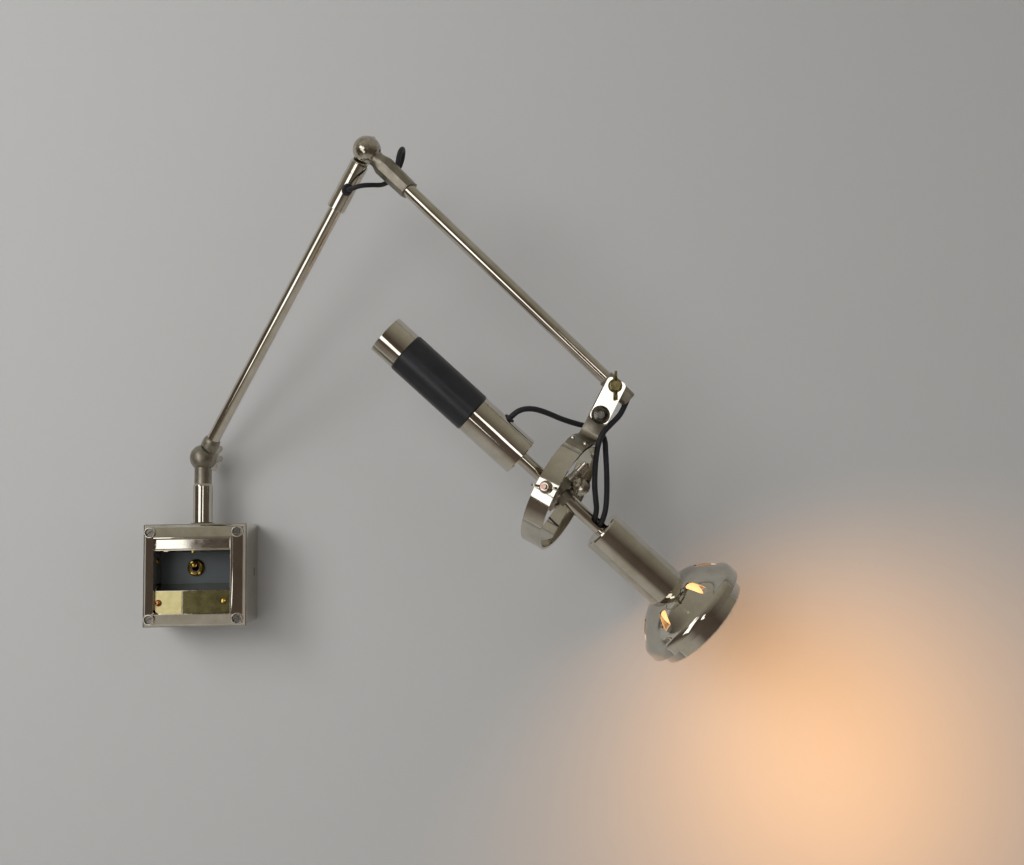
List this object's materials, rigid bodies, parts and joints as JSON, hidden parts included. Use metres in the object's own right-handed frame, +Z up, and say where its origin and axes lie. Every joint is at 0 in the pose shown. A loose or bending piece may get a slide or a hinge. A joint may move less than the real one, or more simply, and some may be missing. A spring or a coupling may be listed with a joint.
{
  "type": "articulating wall lamp",
  "caption": "Wall lamp with a swivelling post, two jointed arms, a trunnion ring and a gimballed head with a vented dome shade, grip handle and toggle switch in the wall box",
  "frame": {"origin": "centre of the wall box's back face, on the wall", "axes": "+X along the wall to the right seen from the room, +Y into the wall, +Z up"},
  "size_m": [0.5699, 0.1993, 0.4967],
  "materials": {
    "chrome_plate": "bright chrome plate over steel, lightly speckled with age",
    "aged_chrome": "duller chrome plate on cast pieces, worn at the edges",
    "switch_grey": "dark grey plate behind the window",
    "brass_trim": "bare brass, tarnished",
    "copper_screw": "copper-coloured screw heads",
    "black_grip": "black moulded grip, satin gloss",
    "black_rubber": "black rubber grommets",
    "cord_black": "black sheathed cord, matt",
    "bakelite": "dark moulded lampholder and switch body",
    "bulb_glass": "lit bulb envelope, warm white"
  },
  "bodies": {
    "box": {"wall_box": "chrome_plate", "front_frame": "chrome_plate", "frame_screws": "chrome_plate", "name_strip": "chrome_plate", "brass_screws": "copper_screw", "switch_bracket": "aged_chrome", "switch_panel": "switch_grey", "switch_body": "bakelite", "switch_ring": "brass_trim", "terminal_hood": "chrome_plate", "terminal_plates": "brass_trim", "terminal_screws": "brass_trim", "post_bush": "aged_chrome"},
    "toggle": {"toggle_lever": "chrome_plate"},
    "post": {"post_sleeve": "chrome_plate", "post_knuckle": "aged_chrome", "post_nut": "aged_chrome", "lower_bolt": "aged_chrome"},
    "lower_nut": {"lower_wing_nut": "aged_chrome"},
    "arm1": {"arm1_knuckle": "aged_chrome", "arm1_tube": "chrome_plate"},
    "elbow": {"elbow_rear_half": "aged_chrome", "elbow_sleeve": "chrome_plate", "sleeve_grommet": "black_rubber", "elbow_cord": "cord_black"},
    "arm2": {"arm2_socket": "aged_chrome", "arm2_tube": "chrome_plate", "arm2_end": "aged_chrome", "elbow_bolt": "aged_chrome"},
    "elbow_nut": {"elbow_wing_nut": "aged_chrome"},
    "bracket": {"bracket_front_plate": "aged_chrome", "bracket_rear_plate": "aged_chrome", "bracket_bolt": "aged_chrome", "stem_screw": "chrome_plate"},
    "bracket_nut": {"bracket_wing_nut": "aged_chrome"},
    "ring": {"ring_stem": "aged_chrome", "ring_band": "chrome_plate", "ring_rivets": "chrome_plate", "tongue_spacers": "aged_chrome", "head_cord": "cord_black"},
    "yoke": {"gimbal_eye": "aged_chrome", "trunnion_bolts": "aged_chrome"},
    "near_nut": {"near_wing_nut": "aged_chrome"},
    "far_nut": {"far_wing_nut": "aged_chrome"},
    "lock": {"lock_screw": "chrome_plate"},
    "head": {"tube_clamp": "aged_chrome", "swivel_pins": "chrome_plate", "head_tube": "chrome_plate", "handle_cap": "chrome_plate", "handle_grip": "black_grip", "handle_body": "chrome_plate", "handle_grommet": "black_rubber", "handle_cord": "cord_black", "neck_housing": "chrome_plate", "lampholder": "bakelite", "bulb": "bulb_glass", "shade": "chrome_plate", "shade_rim": "chrome_plate"},
    "knurled": {"knurled_nut": "chrome_plate"}
  },
  "joints": [
    {"name": "toggle_joint", "type": "hinge", "parent": "box", "child": "toggle", "pos_m": [-0.005, -0.03, 0.0065], "axis": [1, 0, 0], "range_deg": [0, 24]},
    {"name": "post_swivel", "type": "hinge", "parent": "box", "child": "post", "pos_m": [0, -0.03, 0], "axis": [0, 0, 1], "range_deg": [-110, 5]},
    {"name": "lower_hinge", "type": "hinge", "parent": "post", "child": "arm1", "pos_m": [0, -0.03, 0.117], "axis": [0.5736, 0.8192, 0], "range_deg": [-33, 36]},
    {"name": "lower_nut_turn", "type": "hinge", "parent": "post", "child": "lower_nut", "pos_m": [0, -0.03, 0.117], "axis": [0.5736, 0.8192, 0], "continuous": true},
    {"name": "elbow_swivel", "type": "hinge", "parent": "arm1", "child": "elbow", "pos_m": [0.17831, -0.15486, 0.39362], "axis": [0.5066, -0.3547, 0.7859], "range_deg": [-60, 40]},
    {"name": "elbow_hinge", "type": "hinge", "parent": "elbow", "child": "arm2", "pos_m": [0.17831, -0.15486, 0.39362], "axis": [0.229, 0.9341, 0.274], "range_deg": [-75, 10], "deforming": ["elbow_cord"]},
    {"name": "elbow_nut_turn", "type": "hinge", "parent": "arm2", "child": "elbow_nut", "pos_m": [0.17831, -0.15486, 0.39362], "axis": [0.229, 0.9341, 0.274], "continuous": true},
    {"name": "bracket_hinge", "type": "hinge", "parent": "arm2", "child": "bracket", "pos_m": [0.40559, -0.14539, 0.17141], "axis": [0.0392, 0.9958, 0.0825], "range_deg": [-45, 12], "deforming": ["head_cord", "handle_cord"]},
    {"name": "bracket_nut_turn", "type": "hinge", "parent": "bracket", "child": "bracket_nut", "pos_m": [0.40559, -0.14539, 0.17141], "axis": [0.0392, 0.9958, 0.0825], "continuous": true},
    {"name": "ring_hinge", "type": "hinge", "parent": "bracket", "child": "ring", "pos_m": [0.39169, -0.14265, 0.14497], "axis": [-0.0392, -0.9958, -0.0825], "range_deg": [-18, 60], "deforming": ["head_cord", "handle_cord"]},
    {"name": "trunnion", "type": "hinge", "parent": "ring", "child": "yoke", "pos_m": [0.35414, -0.13526, 0.07357], "axis": [0.305, 0.9503, -0.062], "range_deg": [-55, 18], "deforming": ["head_cord", "handle_cord"]},
    {"name": "near_nut_turn", "type": "hinge", "parent": "yoke", "child": "near_nut", "pos_m": [0.35414, -0.13526, 0.07357], "axis": [0.305, 0.9503, -0.062], "continuous": true},
    {"name": "far_nut_turn", "type": "hinge", "parent": "yoke", "child": "far_nut", "pos_m": [0.35414, -0.13526, 0.07357], "axis": [0.305, 0.9503, -0.062], "continuous": true},
    {"name": "lock_turn", "type": "hinge", "parent": "yoke", "child": "lock", "pos_m": [0.37403, -0.14133, 0.07846], "axis": [0.305, 0.9503, -0.062], "continuous": true},
    {"name": "head_swivel", "type": "hinge", "parent": "yoke", "child": "head", "pos_m": [0.35414, -0.13526, 0.07357], "axis": [0.6772, -0.1706, 0.7157], "range_deg": [-45, 8], "deforming": ["head_cord", "handle_cord"]},
    {"name": "knurled_turn", "type": "hinge", "parent": "head", "child": "knurled", "pos_m": [0.35414, -0.13526, 0.07357], "axis": [0.6772, -0.1706, 0.7157], "continuous": true}
  ]
}
